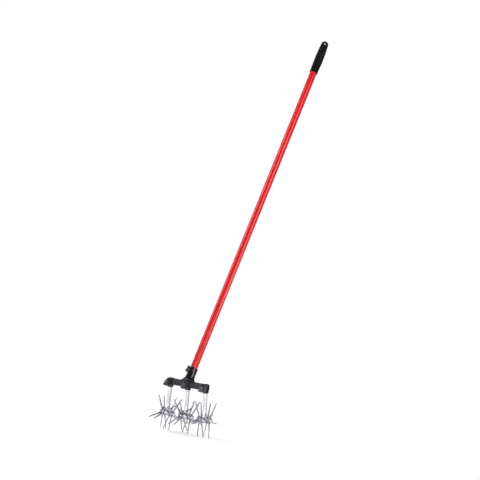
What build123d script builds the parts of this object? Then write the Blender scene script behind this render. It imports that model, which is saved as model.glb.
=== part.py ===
"""Long-handled garden cultivator: head with three latched legs, six spiked wheels, tube and grip.

Millimetres, +Z up, +X along the head bar, +Y towards the user. The origin is on the ground
below the middle leg, with the tool standing on its spikes and the handle leaning back.
"""
from build123d import *
import math
import os

# Stance
HANDLE_LEAN = 30.0
LEG_SPLAY = 2.5
LEG_PITCH = 66.0
LEG_DROP = 81.0

# Fits, all radial
RUN_FIT = 0.06
STILL_FIT = 0.02
LEG_FIT = 0.15
TUBE_FIT = 0.1

# Axles and washers
AXLE_D = 8.0
AXLE_HEAD_R = 6.2
AXLE_HEAD_T = 3.4
AXLE_DOME_R = 2.8
WASHER_OD = 14.0
WASHER_T = 1.2
WASHER_GAP = 0.15

# Legs
LEG_D = 12.0
LEG_TOP = 23.5
LEG_CHAMFER = 1.2
EYE_T = 10.0
EYE_R = 9.0
EYE_NECK = 24.0
SHANK_GAP = 1.0
NOTCH_DEPTH = 2.0

# Spiked wheels: X places run outwards from the leg
TIP_R = 54.0
SPIKES_PER_STAR = 4
STAR_T = 2.5
STAR_RIM = 3.5
SPIKE_ROOT_W = 6.0
SPIKE_TIP_W = 3.4
SPIKE_NOSE_W = 1.6
SPIKE_NOSE_L = 3.0
SPIKE_BEND_IN = 1.0
HUB_OD = 13.0
HUB_L = 16.8
INNER_STAR_IN = 4.1
OUTER_STAR_IN = 3.8
INNER_TIP_BEND = -1.8
OUTER_TIP_BEND = 10.5
WHEEL_TURN = {"left": (15.0, 60.0), "middle": (27.0, 60.0), "right": (9.0, 72.0)}

# Head: heights run up from the boss mouths, neck lengths from where the neck axis leaves the bar
BOSS_H = 26.8
BOSS_R = (9.3, 10.2)
BOSS_FILLET = 2.0
BAR_Z = (7.5, 25.5)
BAR_Y = 9.0
BAR_END = 10.5
BAR_END_R = 8.0
BAR_FILLET = 2.5
NECK_VERTEX = 26.0
NECK_WALL = 2.3
NECK_MOUTH = 43.0
SOCKET_FLOOR = 7.0
SOCKET_GAP = 0.5

# Neck flare: length up the neck, then how much wider and deeper than the neck's own radius
FLARE = ((-7.0, 25.5, -7.5), (0.0, 14.5, -3.1), (4.5, 7.0, -0.3), (9.0, 3.0, 0.0),
         (14.0, 0.9, 0.0), (21.0, 0.0, 0.0))

# Handle tube and grip; the grip profile is (wall over the tube, share of the grip's length)
TUBE_D = 22.2
TUBE_WALL = 1.4
TUBE_SHOWN = 1062.0
GRIP_L = 119.5
GRIP_SOLID_END = 34.0
GRIP_TURN = 36.9
GRIP_PROFILE = ((1.6, 0.0), (1.7, 0.14), (2.4, 0.29), (2.6, 0.46), (2.1, 0.66), (1.0, 0.81), (0.3, 0.9))
GRIP_FLAT = 5.5
FLAT_START = 4.0
FLAT_SLOPE = 12.0
FLAT_RISE = 8.0
HANG_R = 4.5
HANG_FROM_END = 8.8

# Thumb levers, pins and springs
LEVER_W = 10.0
LEVER_SIDE_GAP = 0.4
CHEEK_T = 3.0
PIN_R = 1.5
PIN_SEAT = 1.8
SEAT_GAP = 0.1
SPRING_WIRE = 0.8
SPRING_R = 2.35
SPRING_PITCH = 1.3
SPRING_ROOM_R = 3.4
SPRING_ROOM_W = 5.6
SPRING_HOLE_R = 1.2
SPRING_HOLE_L = 7.0
SPRING_REACH = 9.0
SPRING_GAP = 0.3
SPRING_END_GAP = 0.5

# Leg levers: profiles are (Y, Z) from the pivot
LEG_PIVOT_OUT = 9.3
LEG_PIVOT_Z = 7.5
LEG_BARREL_R = 4.3
LEG_CHEEK_R = 5.0
LEG_TURNS = 2
LEG_SPRING_SHORT = 4.0
LEG_SPRING_ROOM = 6.0
LEG_CHEEK = ((12.3, -LEG_CHEEK_R), (0.0, -LEG_CHEEK_R), (-2.3, 4.0), (0.7, 11.5), (4.3, 17.5), (12.3, 17.5))
LEG_LEVER = ((3.8, 0.0), (3.8, 7.7), (8.5, 7.7), (10.9, 9.3), (10.9, 10.9), (3.8, 10.9), (3.8, 14.5),
             (-7.7, 14.1), (-16.5, 2.7), (-17.3, 1.1), (-16.3, -0.3), (0.0, -LEG_BARREL_R))
LEG_NOTCH = (7.1, 12.9)
LEG_NOSE_ROOM = ((-10.0, 12.3), (6.1, 15.1))
LEG_BODY_ROOM = ((-10.0, 4.2), (-7.5, 19.0))

# Neck lever: profiles are (Y, Z) from the pivot
NECK_PIVOT_OUT = 3.9
NECK_PIVOT_DOWN = 4.6
NECK_BARREL_R = 3.4
NECK_CHEEK_R = 4.2
NECK_TURNS = 2.25
NECK_SPRING_SHORT = 4.6
NECK_SPRING_ROOM = 5.0
NECK_CHEEK = ((9.4, -NECK_CHEEK_R), (0.0, -NECK_CHEEK_R), (0.0, NECK_CHEEK_R), (9.4, NECK_CHEEK_R))
NECK_LEVER = ((3.1, 0.0), (3.1, -16.4), (-12.2, -18.2), (-13.2, -17.0), (-12.8, -15.4), (-3.3, 0.6))
NECK_NOSE = ((2.4, -12.8), (8.0, -11.6), (8.0, -9.6), (2.4, -9.2))
NECK_NOSE_W = 6.0
NECK_NOSE_GAP = 0.6
NECK_WINDOW = ((-10.0, 11.4), (-14.6, -8.6))
NECK_SLOT = ((-10.0, 9.4), (-16.0, 1.0))
NECK_SLOT_GAP = 0.8

# Places that follow from the sizes above
WHEELS_PER_LEG = (-1, 1)
SIDES = {"left": -1, "middle": 0, "right": 1}
AXLE_Z = TIP_R
MOUTH_Z = AXLE_Z + LEG_DROP
HUB_X = EYE_T / 2 + WASHER_T + 2 * WASHER_GAP
HUB_END = HUB_X + HUB_L
STAR_DISC_R = HUB_OD / 2 + STAR_RIM
SPIKE_BEND_R = STAR_DISC_R - SPIKE_BEND_IN
TUBE_R = TUBE_D / 2
NECK_R = TUBE_R + TUBE_FIT + NECK_WALL
NECK_FRAME = Pos(0, 0, MOUTH_Z + NECK_VERTEX) * Rot(X=-HANDLE_LEAN)
NECK_PIVOT = (-NECK_R - NECK_PIVOT_OUT, NECK_MOUTH - NECK_PIVOT_DOWN)
LEG_PIVOT = (-LEG_D / 2 - LEG_PIVOT_OUT, LEG_PIVOT_Z)
LEVER_SLOT_W = LEVER_W + 2 * LEVER_SIDE_GAP
SPRING_SPAN = (-SPRING_ROOM_W / 2, SPRING_ROOM_W / 2)
GRIP_Z = NECK_MOUTH + TUBE_SHOWN
GRIP_COVER = GRIP_L - GRIP_SOLID_END


def leg_frame(side):
    """Frame of one leg: origin at its boss mouth, Z up the leg, X along its axle."""
    return Pos(side * LEG_PITCH, 0, MOUTH_Z) * Rot(Y=-side * LEG_SPLAY)


def rod_x(radius, x0, x1, y=0.0, z=0.0):
    """Cylinder along X from x0 to x1 through (y, z)."""
    return Pos((x0 + x1) / 2, y, z) * Rot(Y=90) * Cylinder(radius, x1 - x0)


def rod_y(radius, y0, y1, x=0.0, z=0.0):
    """Cylinder along Y from y0 to y1 through (x, z)."""
    return Pos(x, (y0 + y1) / 2, z) * Rot(X=90) * Cylinder(radius, y1 - y0)


def rod_z(radius, z0, z1):
    """Cylinder along Z from z0 to z1 on the local axis."""
    return Pos(0, 0, (z0 + z1) / 2) * Cylinder(radius, z1 - z0)


def block(x, y, z):
    """Box between the two values of each of x, y and z."""
    centre = Pos(sum(x) / 2, sum(y) / 2, sum(z) / 2)
    return centre * Box(x[1] - x[0], y[1] - y[0], z[1] - z[0])


def both_ways(half):
    """Span of a half width either side of the middle plane."""
    return (-half, half)


def side_plate(points, width):
    """Side profile in (y, z), extruded to a width centred on X."""
    profile = make_face(Plane.YZ * Polyline(*points, close=True))
    return extrude(profile, amount=width / 2, both=True)


def save(name, shape):
    """Write one node."""
    export_step(shape, f"parts/{name}.step")


def star(out, star_x, tip_bend, turn):
    """Stamped star plate: a disc with long points whose tips are bent out by tip_bend."""
    tilt = math.atan2(tip_bend, TIP_R - SPIKE_BEND_R)
    reach = SPIKE_BEND_R + (TIP_R - SPIKE_BEND_R) / math.cos(tilt)
    start = (HUB_OD / 2 + SPIKE_BEND_R) / 2
    points = [(-SPIKE_ROOT_W / 2, start), (SPIKE_ROOT_W / 2, start),
              (SPIKE_TIP_W / 2, reach - SPIKE_NOSE_L), (SPIKE_NOSE_W / 2, reach),
              (-SPIKE_NOSE_W / 2, reach), (-SPIKE_TIP_W / 2, reach - SPIKE_NOSE_L)]
    bend = Pos(0, 0, SPIKE_BEND_R) * Rot(Y=out * math.degrees(tilt)) * Pos(0, 0, -SPIKE_BEND_R)
    spike = bend * side_plate(points, STAR_T)
    plate = rod_x(STAR_DISC_R, *both_ways(STAR_T / 2))
    for k in range(SPIKES_PER_STAR):
        plate += Rot(X=turn + k * 360 / SPIKES_PER_STAR) * spike
    plate -= rod_x(HUB_OD / 2 + STILL_FIT, *both_ways(STAR_T * 2))
    return Pos(out * star_x, 0, 0) * plate


def hub(out):
    """Hub sleeve that turns on the axle."""
    x0, x1 = sorted((out * HUB_X, out * HUB_END))
    return rod_x(HUB_OD / 2, x0, x1) - rod_x(AXLE_D / 2 + RUN_FIT, *both_ways(HUB_END * 2))


def washers():
    """The four washers on one axle, one at each end of each hub."""
    rings = []
    for inner in (HUB_X - WASHER_GAP - WASHER_T, HUB_END + WASHER_GAP):
        for out in WHEELS_PER_LEG:
            x0, x1 = sorted((out * inner, out * (inner + WASHER_T)))
            ring = rod_x(WASHER_OD / 2, x0, x1)
            rings.append(ring - rod_x(AXLE_D / 2 + STILL_FIT, *both_ways(HUB_END * 2)))
    return rings


def axle():
    """Axle pin with a domed head formed at each end."""
    head_x = HUB_END + WASHER_T + 2 * WASHER_GAP
    pin = rod_x(AXLE_D / 2, *both_ways(head_x + AXLE_HEAD_T / 2))
    for out in WHEELS_PER_LEG:
        x0, x1 = sorted((out * head_x, out * (head_x + AXLE_HEAD_T)))
        cap = rod_x(AXLE_HEAD_R, x0, x1)
        rims = cap.edges().filter_by(GeomType.CIRCLE).sort_by(Axis.X)
        outer_rim = rims[-1] if out > 0 else rims[0]
        pin += fillet(outer_rim, AXLE_DOME_R)
    return pin


def leg():
    """Leg rod with a flattened eye below and a latch notch above."""
    flat = [(-EYE_R, 0), (-LEG_D / 2, EYE_NECK), (LEG_D / 2, EYE_NECK), (EYE_R, 0)]
    body = side_plate(flat, EYE_T) + rod_x(EYE_R, *both_ways(EYE_T / 2))
    body -= rod_x(AXLE_D / 2 + STILL_FIT, *both_ways(EYE_T))
    shank_z = EYE_R + LEG_D / 2 + SHANK_GAP
    shank = rod_z(LEG_D / 2, shank_z, LEG_DROP + LEG_TOP)
    shank = chamfer(shank.edges().sort_by(Axis.Z)[-1], LEG_CHAMFER)
    shank += Pos(0, 0, shank_z) * Sphere(LEG_D / 2)
    body = Pos(0, 0, -LEG_DROP) * (body + shank)
    notch_y = (-LEG_D, -LEG_D / 2 + NOTCH_DEPTH)
    notch_z = [LEG_PIVOT_Z + z for z in LEG_NOTCH]
    return body - block(both_ways(LEG_D), notch_y, notch_z)


def spring(turns, start_leg, end_leg):
    """Torsion spring about X: start_leg leaves forwards at the bottom, end_leg along the last turn."""
    coil = Rot(Y=90) * Helix(SPRING_PITCH, SPRING_PITCH * turns, SPRING_R)
    first = Line((coil @ 0) - (coil % 0) * start_leg, coil @ 0)
    last = Line(coil @ 1, (coil @ 1) + (coil % 1) * end_leg)
    section = Plane(origin=first @ 0, z_dir=first % 0) * Circle(SPRING_WIRE / 2)
    wire = sweep(section, path=Wire([first, coil, last]))
    return Pos(-SPRING_PITCH * turns / 2, 0, 0) * wire


def pin():
    """Pivot pin, seated in blind holes in its two cheeks."""
    return rod_x(PIN_R, *both_ways(LEVER_SLOT_W / 2 + PIN_SEAT))


def cheeks(radius, profile):
    """Two cheeks that carry a pivot pin, as seen from the pivot."""
    pair = side_plate(profile, LEVER_SLOT_W + 2 * CHEEK_T)
    pair += rod_x(radius, *both_ways(LEVER_SLOT_W / 2 + CHEEK_T))
    far = 10 * radius
    pair -= block(both_ways(LEVER_SLOT_W / 2), both_ways(far), both_ways(far))
    return pair - rod_x(PIN_R + STILL_FIT, *both_ways(LEVER_SLOT_W / 2 + PIN_SEAT + SEAT_GAP))


def lever(profile, barrel_r):
    """Thumb lever with a bored barrel and a room for its spring, as seen from the pivot."""
    body = side_plate(profile, LEVER_W) + rod_x(barrel_r, *both_ways(LEVER_W / 2))
    body -= rod_x(PIN_R + RUN_FIT, *both_ways(LEVER_W))
    return body - rod_x(SPRING_ROOM_R, *SPRING_SPAN)


def leg_lever():
    """Lever that holds a leg; pressed down, its nose leaves the notch."""
    body = lever(LEG_LEVER, LEG_BARREL_R)
    body -= block(SPRING_SPAN, (0, LEG_SPRING_ROOM), (-LEG_SPRING_ROOM, 0))
    groove_z = (-LEG_SPRING_ROOM, -SPRING_R + SPRING_WIRE / 2 + SPRING_GAP)
    return body - block(SPRING_SPAN, (-SPRING_REACH - SPRING_END_GAP, 0), groove_z)


def neck_lever():
    """Lever that holds the tube; lifted, its nose leaves the tube."""
    body = lever(NECK_LEVER, NECK_BARREL_R)
    body -= block(SPRING_SPAN, (0, NECK_SPRING_ROOM), (0, NECK_SPRING_ROOM))
    rim = SPRING_WIRE / 2 + SPRING_GAP
    groove_y = (-SPRING_R - rim, -SPRING_R + rim)
    body -= block(SPRING_SPAN, groove_y, (-SPRING_REACH - SPRING_END_GAP, 0))
    return body + side_plate(NECK_NOSE, NECK_NOSE_W)


def bar():
    """Cross bar with rounded ends, at the height of the boss mouths."""
    length = LEG_PITCH + BAR_END
    body = block(both_ways(length), both_ways(BAR_Y), BAR_Z)
    body = fillet(body.edges().filter_by(Axis.Z), BAR_END_R)
    return fillet(body.edges().filter_by(Axis.Z, reverse=True), BAR_FILLET)


def neck():
    """Neck with its flare, lever cheeks and lever slot, before the socket is bored."""
    sections = [Pos(0, 0, s) * Ellipse(NECK_R + wide, NECK_R + deep) for s, wide, deep in FLARE]
    body = loft(sections) + rod_z(NECK_R, FLARE[-2][0], NECK_MOUTH)
    at_pivot = Pos(0, *NECK_PIVOT)
    body -= at_pivot * block(both_ways(LEVER_SLOT_W / 2 + NECK_SLOT_GAP), *NECK_SLOT)
    return body + at_pivot * cheeks(NECK_CHEEK_R, NECK_CHEEK)


def head():
    """Moulded head: bar, three bosses with latch cheeks, neck socket and flare."""
    at_pivot = Pos(0, *LEG_PIVOT)
    body = Pos(0, 0, MOUTH_Z) * bar() + NECK_FRAME * neck()
    for side in SIDES.values():
        boss = Pos(0, 0, BOSS_H / 2) * Cone(*BOSS_R, BOSS_H)
        boss = fillet(boss.edges().sort_by(Axis.Z)[-1], BOSS_FILLET)
        body += leg_frame(side) * (boss + at_pivot * cheeks(LEG_CHEEK_R, LEG_CHEEK))
    body -= NECK_FRAME * rod_z(TUBE_R + TUBE_FIT, SOCKET_FLOOR, NECK_MOUTH * 2)
    hole = rod_y(SPRING_HOLE_R, 0, SPRING_HOLE_L, -SPRING_PITCH * NECK_TURNS / 2, SPRING_R)
    body -= NECK_FRAME * Pos(0, *NECK_PIVOT) * hole
    for side in SIDES.values():
        room = rod_z(LEG_D / 2 + LEG_FIT, -BOSS_H, LEG_TOP + SOCKET_GAP)
        room += at_pivot * block(both_ways(LEVER_SLOT_W / 2), *LEG_NOSE_ROOM)
        room += at_pivot * block(both_ways(LEVER_SLOT_W / 2), *LEG_BODY_ROOM)
        body -= leg_frame(side) * room
    return body


def tube():
    """Handle tube from the socket floor into the grip, with a slot for the neck lever's nose."""
    z0 = SOCKET_FLOOR + SOCKET_GAP
    z1 = GRIP_Z + GRIP_COVER
    body = rod_z(TUBE_R, z0, z1) - rod_z(TUBE_R - TUBE_WALL, 0, z1 * 2)
    window = block(both_ways(NECK_NOSE_W / 2 + NECK_NOSE_GAP), *NECK_WINDOW)
    return body - Pos(0, *NECK_PIVOT) * window


def grip():
    """Moulded grip, solid beyond the tube's end and flattened round its hang hole."""
    outline = [(TUBE_R + wall, share * GRIP_L) for wall, share in GRIP_PROFILE]
    side = Spline(*outline)
    end = Spline(outline[-1], (0, GRIP_L), tangents=(side % 1, (-1, 0)))
    floor = Polyline((0, GRIP_L), (0, 0), outline[0])
    body = revolve(Plane.XZ * make_face([side, end, floor]), Axis.Z)
    body -= rod_z(TUBE_R + STILL_FIT, -GRIP_L, GRIP_COVER + SOCKET_GAP)
    far = 2 * TUBE_D
    z0 = GRIP_COVER + FLAT_START
    flat = ((GRIP_FLAT, 2 * GRIP_L), (far, 2 * GRIP_L), (far, z0), (GRIP_FLAT + FLAT_RISE, z0),
            (GRIP_FLAT, z0 + FLAT_SLOPE))
    for out in (-1, 1):
        body -= side_plate([(out * y, z) for y, z in flat], 2 * far)
    return body - rod_y(HANG_R, *both_ways(far), 0, GRIP_L - HANG_FROM_END)


os.makedirs("parts", exist_ok=True)
at_neck_pivot = NECK_FRAME * Pos(0, *NECK_PIVOT)
save("head", head())
save("handle_tube", NECK_FRAME * tube())
save("end_grip", NECK_FRAME * Pos(0, 0, GRIP_Z) * Rot(Z=GRIP_TURN) * grip())
save("neck_lever", at_neck_pivot * neck_lever())
save("neck_pin", at_neck_pivot * pin())
save("neck_spring", at_neck_pivot * Rot(X=180) * spring(NECK_TURNS, NECK_SPRING_SHORT, SPRING_REACH))
for name, side in SIDES.items():
    at_leg_pivot = leg_frame(side) * Pos(0, *LEG_PIVOT)
    at_axle = leg_frame(side) * Pos(0, 0, -LEG_DROP)
    save(f"leg_{name}", leg_frame(side) * leg())
    save(f"lever_{name}", at_leg_pivot * leg_lever())
    save(f"lever_pin_{name}", at_leg_pivot * pin())
    save(f"lever_spring_{name}", at_leg_pivot * spring(LEG_TURNS, SPRING_REACH, LEG_SPRING_SHORT))
    save(f"axle_{name}", at_axle * axle())
    save(f"washers_{name}", Compound([at_axle * ring for ring in washers()]))
    for out, letter, turn in zip(WHEELS_PER_LEG, "ab", WHEEL_TURN[name]):
        inner = star(out, HUB_X + INNER_STAR_IN, INNER_TIP_BEND, turn)
        outer = star(out, HUB_END - OUTER_STAR_IN, OUTER_TIP_BEND, turn)
        save(f"hub_{name}_{letter}", at_axle * hub(out))
        save(f"star_in_{name}_{letter}", at_axle * inner)
        save(f"star_out_{name}_{letter}", at_axle * outer)
print("least gap between spring turns", round(SPRING_PITCH - SPRING_WIRE, 2))
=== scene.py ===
"""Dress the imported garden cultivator: finishes, finer pieces, floor, lamps and camera."""
import logging
import math
from abc import ABC, abstractmethod
from dataclasses import dataclass, field
from enum import Enum

import bmesh
import bpy
from mathutils import Matrix, Quaternion, Vector


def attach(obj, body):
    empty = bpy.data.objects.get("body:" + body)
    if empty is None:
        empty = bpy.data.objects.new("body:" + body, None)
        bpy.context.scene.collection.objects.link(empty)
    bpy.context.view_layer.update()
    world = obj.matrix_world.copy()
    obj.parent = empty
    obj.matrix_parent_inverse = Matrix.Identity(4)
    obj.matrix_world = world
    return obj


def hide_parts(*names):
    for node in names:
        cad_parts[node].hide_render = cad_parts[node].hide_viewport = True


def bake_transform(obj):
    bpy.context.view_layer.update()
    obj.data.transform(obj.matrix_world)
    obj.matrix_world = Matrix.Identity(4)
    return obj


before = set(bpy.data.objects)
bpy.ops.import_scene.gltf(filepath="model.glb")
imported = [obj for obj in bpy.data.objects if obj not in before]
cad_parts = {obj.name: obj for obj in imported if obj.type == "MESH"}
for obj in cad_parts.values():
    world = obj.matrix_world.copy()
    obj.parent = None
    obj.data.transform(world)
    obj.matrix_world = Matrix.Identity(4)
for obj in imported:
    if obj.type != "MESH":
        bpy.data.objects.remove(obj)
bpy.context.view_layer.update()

LOG = logging.getLogger("cultivator")
MM = 0.001
FULL_TURN = 2 * math.pi
TINY = 1e-4

Colour = tuple[float, float, float, float]
Triple = tuple[float, float, float]
Span = tuple[float, float]
Outline = list[Span]
Mesh = bmesh.types.BMesh
Verts = list[bmesh.types.BMVert]
Edges = list[bmesh.types.BMEdge]


class Side(Enum):
    """The three legs; the value counts leg pitches along the bar from the middle."""

    LEFT = -1
    MIDDLE = 0
    RIGHT = 1

    @property
    def label(self) -> str:
        """Name of the leg as the nodes spell it."""
        return self.name.lower()


class Wheel(Enum):
    """The two wheels of a leg; the value is the way outwards along the axle."""

    A = -1
    B = 1

    @property
    def label(self) -> str:
        """Letter of the wheel as the nodes spell it."""
        return self.name.lower()


class Slot(Enum):
    """Material slots of the record."""

    RED_PAINT = "red_paint"
    GRIP_VINYL = "grip_vinyl"
    BLACK_MOULDING = "black_moulding"
    ZINC_LEG = "zinc_leg"
    ZINC_WHEEL = "zinc_wheel"
    ZINC_HARDWARE = "zinc_hardware"
    SPRING_STEEL = "spring_steel"


class Value:
    """An output socket whose arithmetic adds Math nodes."""

    def __init__(self, shade: "Shade", socket: bpy.types.NodeSocket | None) -> None:
        """Wrap one socket of a shade's node tree."""
        self.shade = shade
        self.socket = socket

    def _math(self, operation: str, first: "Value | float", second: "Value | float") -> "Value":
        """Add one Math node on two values."""
        return self.shade.node("ShaderNodeMath", {"operation": operation}, {0: first, 1: second})

    def __add__(self, other: "Value | float") -> "Value":
        """Sum of two values."""
        return self._math("ADD", self, other)

    def __radd__(self, other: float) -> "Value":
        """Sum of a number and this value."""
        return self._math("ADD", other, self)

    def __sub__(self, other: "Value | float") -> "Value":
        """Difference of two values."""
        return self._math("SUBTRACT", self, other)

    def __rsub__(self, other: float) -> "Value":
        """A number less this value."""
        return self._math("SUBTRACT", other, self)

    def __mul__(self, other: "Value | float") -> "Value":
        """Product of two values."""
        return self._math("MULTIPLY", self, other)

    def __rmul__(self, other: float) -> "Value":
        """Product of a number and this value."""
        return self._math("MULTIPLY", other, self)

    def most(self, other: "Value | float") -> "Value":
        """Larger of two values."""
        return self._math("MAXIMUM", self, other)

    def step(self, low: float, high: float) -> "Value":
        """Smooth step from 0 at low to 1 at high."""
        return self.shade.node("ShaderNodeMapRange", {"interpolation_type": "SMOOTHSTEP"},
                               {"Value": self, "From Min": low, "From Max": high})


@dataclass(frozen=True)
class Mark:
    """Noise that marks a surface.

    Attributes:
        scale: Lumps per metre.
        detail: Octaves.
        fine: Weight of the finer octaves.
        edge: Noise at which a mark starts and is full, or None for the plain noise.
        tone: Share of the finish's second colour in a full mark.
        rough: Roughness that a full mark adds.
    """

    scale: float
    detail: float = 2.0
    fine: float = 0.5
    edge: Span | None = None
    tone: float = 0.0
    rough: float = 0.0


class Shade:
    """A node tree that finishes are written into."""

    def __init__(self, tree: bpy.types.NodeTree) -> None:
        """Start from an empty tree."""
        self.tree = tree
        self.tree.nodes.clear()

    def node(self, kind: str, settings: dict | None = None, inputs: dict | None = None,
             output: int | str = 0) -> Value:
        """Add one node.

        Args:
            kind: Node type.
            settings: Attributes of the node, set before its sockets.
            inputs: Values or links, by socket name or place.
            output: Socket that is handed back.

        Returns:
            The chosen output.
        """
        made = self.tree.nodes.new(kind)
        for key, setting in (settings or {}).items():
            setattr(made, key, setting)
        for key, value in (inputs or {}).items():
            if isinstance(value, Value):
                self.tree.links.new(value.socket, made.inputs[key])
            else:
                made.inputs[key].default_value = value
        return Value(self, made.outputs[output] if made.outputs else None)

    def where(self, turn: Triple = (0, 0, 0), stretch: Triple = (1, 1, 1)) -> Value:
        """Object coordinates, turned and then stretched.

        Args:
            turn: Rotation in radians.
            stretch: Scale along each turned axis.

        Returns:
            The coordinates as a vector.
        """
        flat = self.node("ShaderNodeTexCoord", output="Object")
        turned = self.node("ShaderNodeMapping", inputs={"Vector": flat, "Rotation": turn})
        return self.node("ShaderNodeVectorMath", {"operation": "MULTIPLY"}, {0: turned, 1: stretch})

    def axis(self, at: Value, name: str) -> Value:
        """One coordinate of a vector, by the name of its axis."""
        return self.node("ShaderNodeSeparateXYZ", inputs={0: at}, output=name)

    def mark(self, at: Value, mark: Mark) -> Value:
        """Strength of a mark, between 0 and 1, at some coordinates."""
        made = self.node("ShaderNodeTexNoise", inputs={
            "Vector": at, "Scale": mark.scale, "Detail": mark.detail, "Roughness": mark.fine}, output="Fac")
        return made.step(*mark.edge) if mark.edge else made

    def blend(self, share: Value, first: Colour | Value, second: Colour | Value) -> Value:
        """Mix two colours by the share of the second."""
        return self.node("ShaderNodeMix", {"data_type": "RGBA"}, {0: share, 6: first, 7: second}, output=2)

    def bump(self, height: Value, depth: float) -> Value:
        """Normal of a rough surface, from a height between 0 and 1 and its depth in metres."""
        return self.node("ShaderNodeBump", inputs={"Height": height, "Distance": depth})

    def close(self, surface: Value, kind: str = "ShaderNodeOutputMaterial") -> None:
        """Link a shader to the tree's output."""
        self.node(kind, inputs={"Surface": surface})


@dataclass(frozen=True)
class Finish(ABC):
    """A finish that the pieces of one slot share."""

    slot: Slot
    colour: Colour
    other: Colour
    roughness: float

    @abstractmethod
    def surface(self, shade: Shade) -> Value:
        """Write the finish into a tree and hand back its shader."""

    def material(self) -> bpy.types.Material:
        """Make the material, or hand back the one already made.

        Returns:
            The material of this finish.
        """
        name = f"{self.slot.value}_finish"
        made = bpy.data.materials.get(name)
        if made is None:
            made = bpy.data.materials.new(name)
            made.use_nodes = True
            shade = Shade(made.node_tree)
            shade.close(self.surface(shade))
        return made


@dataclass(frozen=True)
class GlossPaint(Finish):
    """Gloss powder coat on steel tube, with its orange peel, darker rougher patches at its foot by the
    head, and painted shade inside the head's socket.
    """

    lean: float = math.radians(30)
    drift: Mark = Mark(14.0, 3.0, tone=0.6, rough=0.08)
    specks: Mark = Mark(1500.0, edge=(0.68, 0.74), tone=0.25)
    peel: Mark = Mark(620.0, 1.0)
    peel_depth: float = 0.000006
    near_head_along: Span = (0.19, 0.21)
    near_head_patches: Span = (0.3, 0.7)
    near_head_tone: float = 0.4
    near_head_rough: float = 0.2
    # painted shade: near-black for the stretch of tube inside the head's socket
    socket_shade: Colour = (0.012, 0.009, 0.009, 1)
    socket_shade_top: Span = (0.179, 0.183)
    socket_shade_rough: float = 0.3
    shine: float = 0.75
    shine_tint: Colour = (1, 0.5, 0.5, 1)
    coat: float = 0.25
    coat_roughness: float = 0.16

    def surface(self, shade: Shade) -> Value:
        """Write red paint that drifts in tone, is darker and rougher in patches where it meets the head,
        and is painted near-black as painted shade inside the head's socket.

        Args:
            shade: Tree to write into.

        Returns:
            The shader.
        """
        at = shade.where(turn=(self.lean, 0, 0))
        along = shade.axis(at, "Z")
        drift = shade.mark(at, self.drift)
        specks = shade.mark(at, self.specks)
        # darker, rougher patches on the tube near the head's mouth
        tone_patches = (1 - along.step(*self.near_head_along)) * drift.step(*self.near_head_patches)
        # painted shade: the tube inside the head's socket is painted near-black, with no coat and more
        # roughness
        in_socket_shade = 1 - along.step(*self.socket_shade_top)
        share = drift * self.drift.tone + specks * self.specks.tone + tone_patches * self.near_head_tone
        tone = shade.blend(share.step(0.0, 1.0), self.colour, self.other)
        dull = drift * self.drift.rough + tone_patches * self.near_head_rough + in_socket_shade * self.socket_shade_rough
        return shade.node("ShaderNodeBsdfPrincipled", inputs={
            "Base Color": shade.blend(in_socket_shade, tone, self.socket_shade),
            "Roughness": self.roughness + dull,
            "Specular IOR Level": self.shine,
            "Specular Tint": self.shine_tint,
            "Coat Weight": self.coat * (1 - in_socket_shade),
            "Coat Roughness": self.coat_roughness,
            "Normal": shade.bump(shade.mark(at, self.peel), self.peel_depth)})


@dataclass(frozen=True)
class Vinyl(Finish):
    """Soft moulded vinyl with a dull skin and dust in its grain."""

    tone_patches: Mark = Mark(45.0, 3.0, edge=(0.35, 0.75), rough=0.14)
    grain: Mark = Mark(1900.0)
    grain_depth: float = 0.00003
    shine: float = 0.08

    def surface(self, shade: Shade) -> Value:
        """Write black vinyl whose skin is a little greyer where hands rub it.

        Args:
            shade: Tree to write into.

        Returns:
            The shader.
        """
        at = shade.where()
        tone_patches = shade.mark(at, self.tone_patches)
        return shade.node("ShaderNodeBsdfPrincipled", inputs={
            "Base Color": shade.blend(tone_patches, self.colour, self.other),
            "Roughness": self.roughness + tone_patches * self.tone_patches.rough,
            "Specular IOR Level": self.shine,
            "Normal": shade.bump(shade.mark(at, self.grain), self.grain_depth)})


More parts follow.
